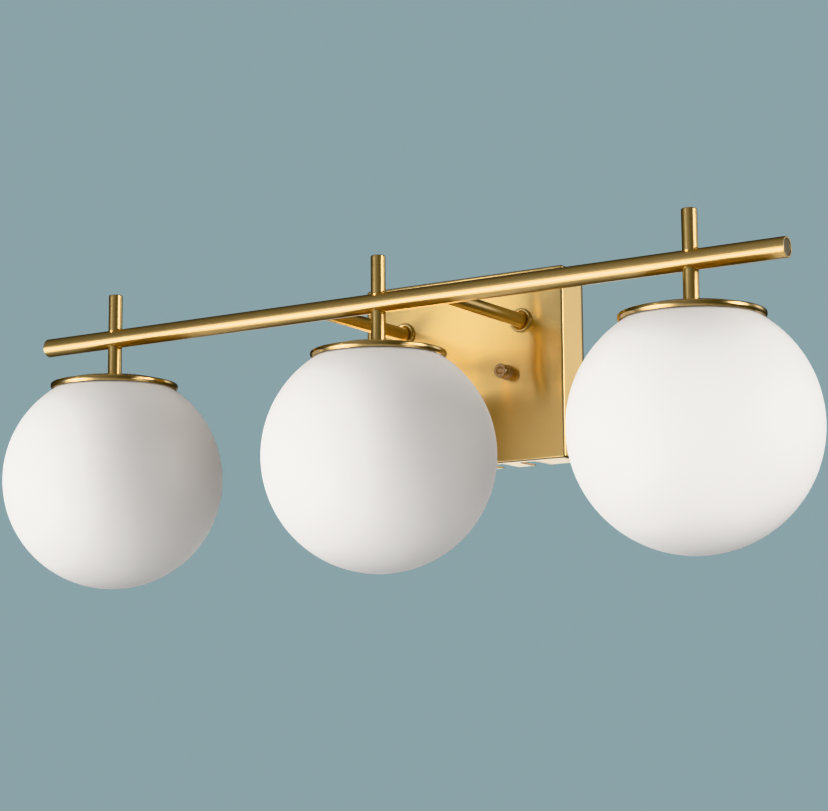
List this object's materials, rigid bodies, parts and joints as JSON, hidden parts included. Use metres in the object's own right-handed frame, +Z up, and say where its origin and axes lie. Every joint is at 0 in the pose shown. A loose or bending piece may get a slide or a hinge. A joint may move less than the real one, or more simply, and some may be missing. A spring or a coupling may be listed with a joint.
{
  "type": "vanity light bar",
  "caption": "Wall light: horizontal tube bar on two arms from a square canopy, with opal glass globes hanging from round caps on short stems.",
  "frame": {"origin": "centre of the canopy's open back, on the wall plane", "axes": "+X along the bar, -Y out from the wall into the room, +Z up"},
  "size_m": [0.59, 0.206, 0.208],
  "materials": {
    "satin_brass": "satin, finely brushed",
    "antique_brass": "darker turned brass",
    "zinc_steel": "zinc plated",
    "earth_green": "green dyed screw",
    "opal_glass": "opal, acid-etched matte",
    "spun_aluminium": "turned",
    "porcelain": "glazed white",
    "contact_brass": "plain stamped",
    "silicone": "matte",
    "frosted_glass": "frosted",
    "nickel": "nickel plated",
    "lead_insulation": "satin PVC",
    "earth_insulation": "satin PVC",
    "connector_plastic": "moulded"
  },
  "bodies": {
    "fixture": {"arm_collar_left": "satin_brass", "arm_collar_right": "satin_brass", "arm_left": "satin_brass", "arm_lock_nuts": "zinc_steel", "arm_lock_washers": "zinc_steel", "arm_nipples": "zinc_steel", "arm_right": "satin_brass", "bar_end_plugs": "satin_brass", "canopy_pan": "satin_brass", "cap_gaskets": "silicone", "cap_lock_nuts": "zinc_steel", "centre_contacts": "contact_brass", "fitter_centre": "spun_aluminium", "fitter_left": "spun_aluminium", "fitter_right": "spun_aluminium", "ground_lead": "earth_insulation", "ground_terminals": "earth_green", "lampholder_centre": "porcelain", "lampholder_left": "porcelain", "lampholder_right": "porcelain", "lead_wires_centre": "lead_insulation", "lead_wires_left": "lead_insulation", "lead_wires_right": "lead_insulation", "lower_stem_centre": "satin_brass", "lower_stem_left": "satin_brass", "lower_stem_right": "satin_brass", "main_bar": "satin_brass", "mounting_crossbar": "zinc_steel", "mounting_studs": "zinc_steel", "screw_shell_centre": "contact_brass", "screw_shell_left": "contact_brass", "screw_shell_right": "contact_brass", "shade_cap_centre": "satin_brass", "shade_cap_left": "satin_brass", "shade_cap_right": "satin_brass", "stem_nipples": "zinc_steel", "stud_lock_nuts": "zinc_steel", "upper_stub_centre": "satin_brass", "upper_stub_left": "satin_brass", "upper_stub_right": "satin_brass", "wire_connectors": "connector_plastic"},
    "globe_left": {"globe_left": "opal_glass", "globe_collar_left": "spun_aluminium"},
    "lamp_left": {"lamp_glass_left": "frosted_glass", "lamp_base_left": "nickel"},
    "globe_centre": {"globe_centre": "opal_glass", "globe_collar_centre": "spun_aluminium"},
    "lamp_centre": {"lamp_glass_centre": "frosted_glass", "lamp_base_centre": "nickel"},
    "globe_right": {"globe_right": "opal_glass", "globe_collar_right": "spun_aluminium"},
    "lamp_right": {"lamp_glass_right": "frosted_glass", "lamp_base_right": "nickel"},
    "washer_left": {"finial_washer_left": "antique_brass"},
    "finial_left": {"finial_nut_left": "antique_brass"},
    "washer_right": {"finial_washer_right": "antique_brass"},
    "finial_right": {"finial_nut_right": "antique_brass"}
  },
  "joints": [
    {"name": "globe_left_off", "type": "slide", "parent": "fixture", "child": "globe_left", "axis": [0, 0, -1], "range_m": [0, 0.11]},
    {"name": "lamp_left_out", "type": "slide", "parent": "fixture", "child": "lamp_left", "axis": [0, 0, -1], "range_m": [0, 0.028]},
    {"name": "globe_centre_off", "type": "slide", "parent": "fixture", "child": "globe_centre", "axis": [0, 0, -1], "range_m": [0, 0.11]},
    {"name": "lamp_centre_out", "type": "slide", "parent": "fixture", "child": "lamp_centre", "axis": [0, 0, -1], "range_m": [0, 0.028]},
    {"name": "globe_right_off", "type": "slide", "parent": "fixture", "child": "globe_right", "axis": [0, 0, -1], "range_m": [0, 0.11]},
    {"name": "lamp_right_out", "type": "slide", "parent": "fixture", "child": "lamp_right", "axis": [0, 0, -1], "range_m": [0, 0.028]},
    {"name": "finial_left_travel", "type": "slide", "parent": "fixture", "child": "washer_left", "axis": [0, -1, 0], "range_m": [0, 0.00556]},
    {"name": "finial_left_turn", "type": "hinge", "parent": "washer_left", "child": "finial_left", "pos_m": [-0.03492, -0.033, -0.004], "axis": [0, -1, 0], "range_deg": [0, 2520]},
    {"name": "finial_right_travel", "type": "slide", "parent": "fixture", "child": "washer_right", "axis": [0, -1, 0], "range_m": [0, 0.00556]},
    {"name": "finial_right_turn", "type": "hinge", "parent": "washer_right", "child": "finial_right", "pos_m": [0.03492, -0.033, -0.004], "axis": [0, -1, 0], "range_deg": [0, 2520]}
  ],
  "couplings": [
    {"joint": "finial_left_turn", "follows": "finial_left_travel", "rad_per_m": 7915.8},
    {"joint": "finial_right_turn", "follows": "finial_right_travel", "rad_per_m": 7915.8}
  ]
}
